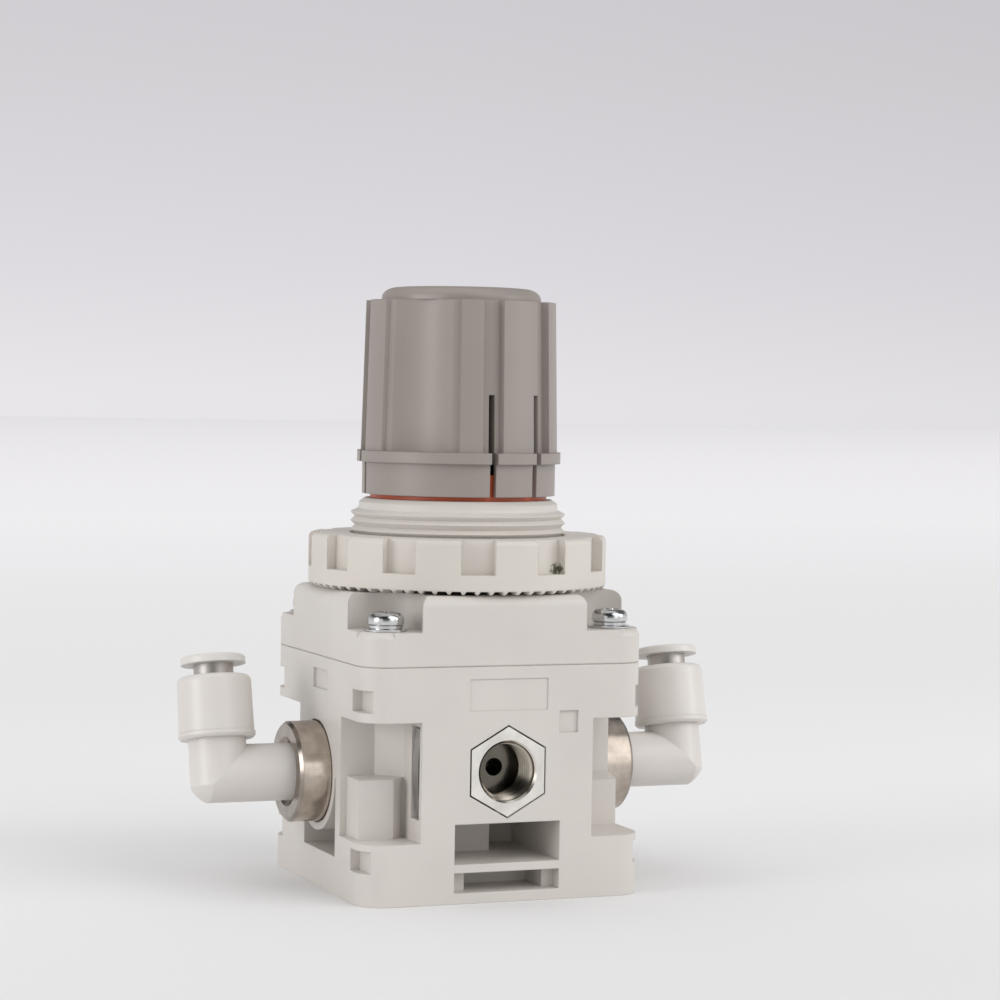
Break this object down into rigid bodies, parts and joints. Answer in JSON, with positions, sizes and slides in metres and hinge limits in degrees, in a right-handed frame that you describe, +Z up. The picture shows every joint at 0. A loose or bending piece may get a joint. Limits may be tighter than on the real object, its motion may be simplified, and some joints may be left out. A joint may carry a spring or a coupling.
{
  "type": "vacuum regulator",
  "caption": "Square-bodied vacuum regulator with a pull-up adjusting knob, panel nut, threaded gauge port and swivel elbow fittings for tube.",
  "frame": {"origin": "middle of the body's flat underside", "axes": "+Z up along the knob's axis, -Y out of the front face with the gauge port, the tube ports on -X and +X"},
  "size_m": [0.0972, 0.0512, 0.1017],
  "materials": {
    "housing_plastic": "fine moulded texture",
    "nut_plastic": "fine moulded texture",
    "knob_plastic": "fine moulded texture",
    "elbow_plastic": "smooth moulded",
    "button_plastic": "smooth moulded",
    "ring_plastic": "smooth moulded",
    "nickel_brass": "nickel plated, satin",
    "brass": "turned",
    "steel": "satin",
    "zinc_steel": "bright zinc plated",
    "rubber": "smooth",
    "spring_steel": "drawn wire"
  },
  "bodies": {
    "housing": {"body": "housing_plastic", "bonnet": "housing_plastic", "lock_ring": "ring_plastic", "valve_seat": "brass", "gauge_insert": "nickel_brass", "gauge_seal": "rubber", "gauge_clip": "spring_steel", "screw_front_left": "zinc_steel", "screw_front_right": "zinc_steel", "screw_back_left": "zinc_steel", "screw_back_right": "zinc_steel", "washer_front_left": "zinc_steel", "washer_front_right": "zinc_steel", "washer_back_left": "zinc_steel", "washer_back_right": "zinc_steel", "left_adapter": "nickel_brass", "left_adapter_seal": "rubber", "right_adapter": "nickel_brass", "right_adapter_seal": "rubber"},
    "panel_nut_body": {"panel_nut": "nut_plastic"},
    "spindle_body": {"spindle": "steel"},
    "knob_body": {"knob": "knob_plastic"},
    "spring_nut_body": {"spring_nut": "brass", "main_spring": "spring_steel"},
    "valve_body": {"upper_plate": "steel", "diaphragm": "rubber", "lower_plate": "steel", "valve_poppet": "brass", "valve_spring": "spring_steel"},
    "left_elbow_body": {"left_elbow": "elbow_plastic", "left_elbow_seal": "rubber", "left_gripper": "steel", "left_tube_seal": "rubber"},
    "left_button_body": {"left_button": "button_plastic", "left_collet": "steel"},
    "right_elbow_body": {"right_elbow": "elbow_plastic", "right_elbow_seal": "rubber", "right_gripper": "steel", "right_tube_seal": "rubber"},
    "right_button_body": {"right_button": "button_plastic", "right_collet": "steel"}
  },
  "joints": [
    {"name": "panel_nut_travel", "type": "slide", "parent": "housing", "child": "panel_nut_body", "axis": [0, 0, 1], "range_m": [0, 0.005]},
    {"name": "spindle_turn", "type": "hinge", "parent": "housing", "child": "spindle_body", "pos_m": [0, 0, 0.07], "axis": [0, 0, 1], "range_deg": [-1440, 1440]},
    {"name": "knob_lock", "type": "slide", "parent": "spindle_body", "child": "knob_body", "axis": [0, 0, 1], "range_m": [-0.0007, 0]},
    {"name": "spring_nut_travel", "type": "slide", "parent": "housing", "child": "spring_nut_body", "axis": [0, 0, 1], "range_m": [-0.004, 0.004], "deforming": ["main_spring"]},
    {"name": "diaphragm_stroke", "type": "slide", "parent": "housing", "child": "valve_body", "axis": [0, 0, 1], "range_m": [0, 0.0008], "deforming": ["diaphragm", "valve_spring", "main_spring"]},
    {"name": "left_elbow_swivel", "type": "hinge", "parent": "housing", "child": "left_elbow_body", "pos_m": [-0.0421, 0, 0.0194], "axis": [1, 0, 0], "continuous": true},
    {"name": "left_button_press", "type": "slide", "parent": "left_elbow_body", "child": "left_button_body", "axis": [0, -0.2334, -0.9724], "range_m": [0, 0.0012], "stiffness_N_per_m": 300, "springref_m": -0.0005},
    {"name": "right_elbow_swivel", "type": "hinge", "parent": "housing", "child": "right_elbow_body", "pos_m": [0.0421, 0, 0.0194], "axis": [1, 0, 0], "continuous": true},
    {"name": "right_button_press", "type": "slide", "parent": "right_elbow_body", "child": "right_button_body", "axis": [0, -0.2334, -0.9724], "range_m": [0, 0.0012], "stiffness_N_per_m": 300, "springref_m": -0.0005}
  ],
  "couplings": [
    {"joint": "spring_nut_travel", "follows": "spindle_turn", "m_per_rad": 0.00015915}
  ]
}
